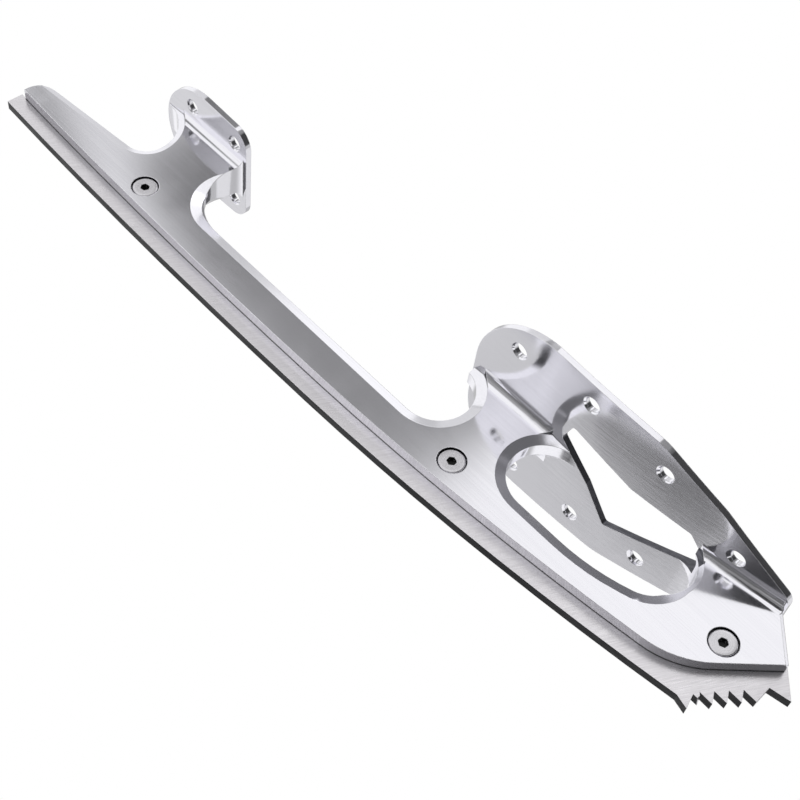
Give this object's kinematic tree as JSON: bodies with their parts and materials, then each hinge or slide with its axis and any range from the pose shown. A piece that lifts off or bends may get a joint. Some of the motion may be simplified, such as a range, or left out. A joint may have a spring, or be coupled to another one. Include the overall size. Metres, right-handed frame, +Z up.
{
  "type": "figure skate blade",
  "caption": "Figure skate blade: milled aluminium chassis with heel and sole plates, replaceable steel runner with toe pick, and low-head screws in sleeve nuts.",
  "frame": {"origin": "on the ice plane under the middle of the blade: x = 0 half way along the runner, y = 0 the middle plane of the blade, z = 0 the lowest point of the runner's edge", "axes": "+X towards the toe, +Z up to the boot, -Y the inner side that the picture shows"},
  "size_m": [0.3126, 0.0668, 0.0547],
  "materials": {
    "chassis": "milled and polished aluminium alloy, bright faces with fine lengthwise cutter marks on the plates",
    "runner": "hardened stainless steel, cross-ground sides and a dark ground edge",
    "screw": "fine-turned stainless steel with a hexagon socket",
    "nut": "fine-turned stainless steel with a hexagon socket"
  },
  "bodies": {
    "root": {"chassis": "chassis", "runner": "runner", "screw_rear": "screw", "screw_middle": "screw", "screw_front": "screw", "nut_rear": "nut", "nut_middle": "nut", "nut_front": "nut"}
  },
  "joints": []
}
